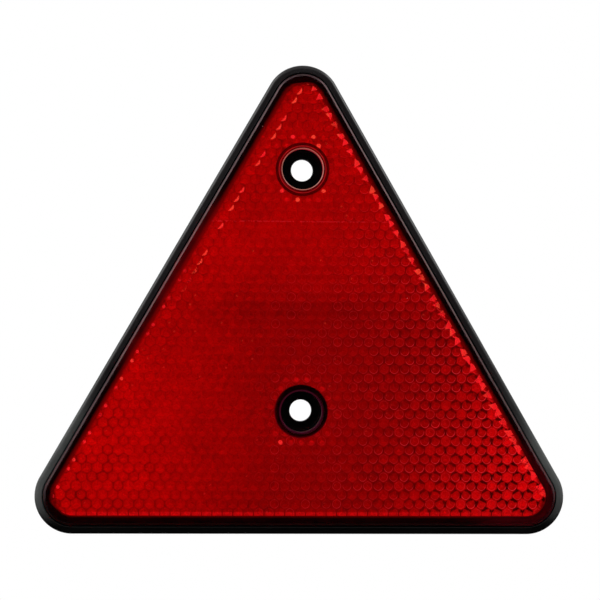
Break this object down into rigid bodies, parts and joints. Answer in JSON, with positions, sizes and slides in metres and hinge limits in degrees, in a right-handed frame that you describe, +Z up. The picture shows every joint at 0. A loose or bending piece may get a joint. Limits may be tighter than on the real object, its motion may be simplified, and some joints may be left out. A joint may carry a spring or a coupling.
{
  "type": "triangular reflector",
  "caption": "Triangular rear reflector for trailers and caravans: a red prismatic lens in a shallow black housing, with recessed screw holes on its centre line.",
  "frame": {"origin": "on the flat back face, at the centre of the triangle, 49.8 mm above the bottom edge", "axes": "+Y out of the back into what carries the reflector, so the lens faces -Y; +Z up as mounted, towards the single upper corner; +X to the right as seen from the front"},
  "size_m": [0.156, 0.008, 0.1381],
  "materials": {
    "housing": "black moulded ABS, satin",
    "lens": "clear red acrylic, polished front, cube-corner prisms on the back"
  },
  "bodies": {
    "root": {"housing": "housing", "lens": "lens"}
  },
  "joints": []
}
